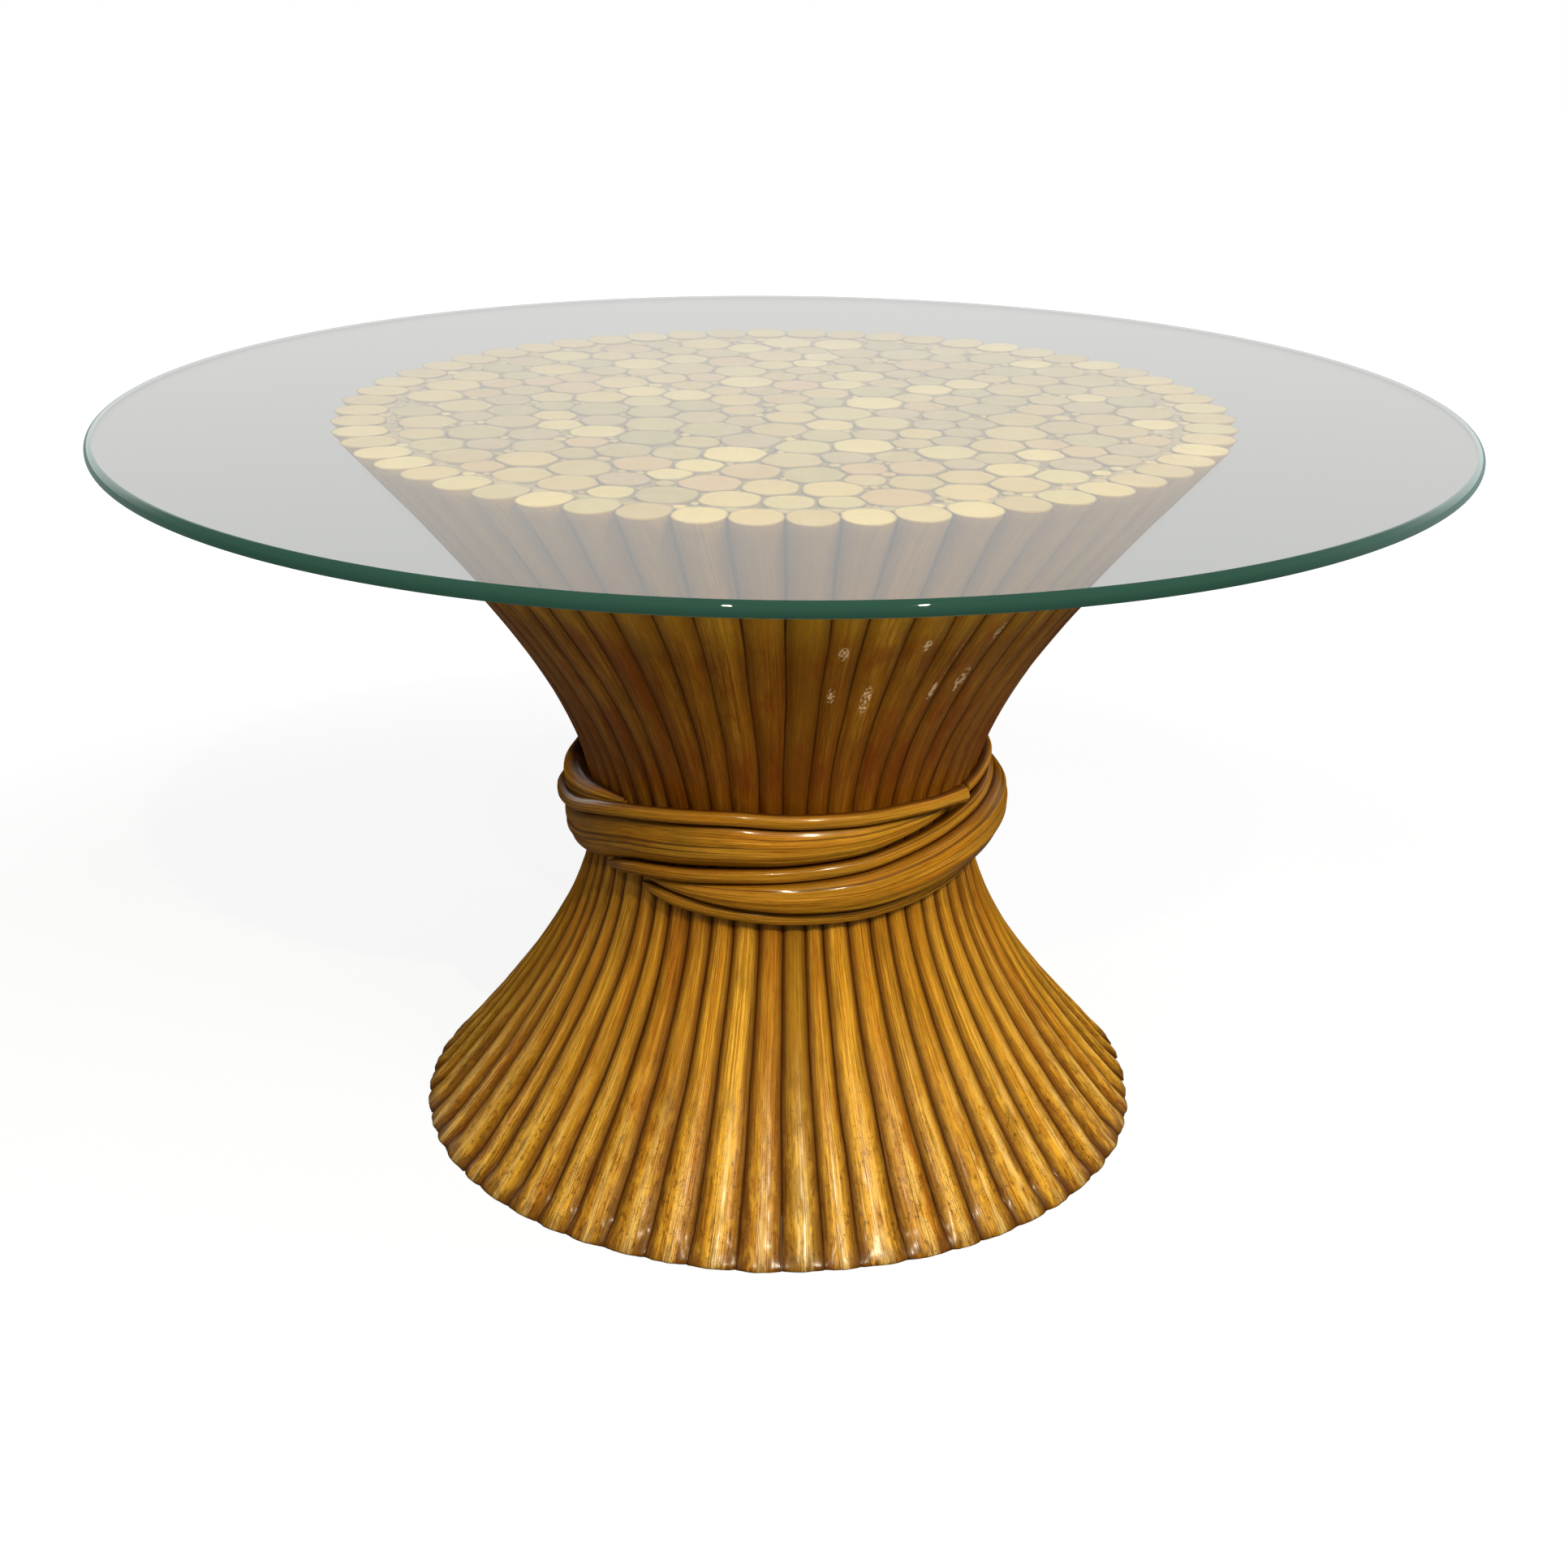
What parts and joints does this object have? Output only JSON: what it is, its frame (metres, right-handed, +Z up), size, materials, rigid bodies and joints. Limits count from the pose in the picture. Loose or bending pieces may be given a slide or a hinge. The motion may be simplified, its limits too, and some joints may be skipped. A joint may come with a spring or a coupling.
{
  "type": "wheat sheaf coffee table",
  "caption": "Round glass coffee table on a flared sheaf of rattan canes, drawn in at the waist by a wound cane tie, with a mosaic of sawn cane ends under the loose glass.",
  "frame": {"origin": "on the floor, at the centre of the sheaf and the glass", "axes": "+Z up, -Y towards the front, where the tie laps over itself, +X to the right seen from the front"},
  "size_m": [0.9, 0.9, 0.5068],
  "materials": {
    "glass": "clear float glass with a green ground edge",
    "cane": "lacquered rattan cane, honey to dark brown",
    "cane_end": "sawn cane end grain, matt",
    "tie": "lacquered split rattan, glossy",
    "board": "plain unfinished softwood and plywood",
    "screw": "zinc plated"
  },
  "bodies": {
    "base": {"cane_end_panel": "cane_end", "cane_pair_01": "cane", "cane_pair_02": "cane", "cane_pair_03": "cane", "cane_pair_04": "cane", "cane_pair_05": "cane", "cane_pair_06": "cane", "cane_pair_07": "cane", "cane_pair_08": "cane", "cane_pair_09": "cane", "cane_pair_10": "cane", "cane_pair_11": "cane", "cane_pair_12": "cane", "cane_pair_13": "cane", "cane_pair_14": "cane", "cane_pair_15": "cane", "cane_pair_16": "cane", "cane_pair_17": "cane", "cane_pair_18": "cane", "cane_pair_19": "cane", "cane_pair_20": "cane", "cane_pair_21": "cane", "cane_pair_22": "cane", "cane_pair_23": "cane", "cane_pair_24": "cane", "cane_pair_25": "cane", "cane_pair_26": "cane", "cane_pair_27": "cane", "cane_pair_28": "cane", "tie_band": "tie", "tie_upper_cane": "tie", "tie_lower_cane": "tie", "tie_top_strand": "tie", "top_board": "board", "foot_board": "board", "waist_disc": "board", "core_post": "board", "top_screw_1": "screw", "top_screw_2": "screw", "top_screw_3": "screw", "top_screw_4": "screw", "foot_screw_1": "screw", "foot_screw_2": "screw", "foot_screw_3": "screw", "foot_screw_4": "screw"},
    "glass": {"glass_top": "glass"}
  },
  "joints": [
    {"name": "glass_lift", "type": "slide", "parent": "base", "child": "glass", "axis": [0, 0, 1], "range_m": [0, 0.12]}
  ]
}
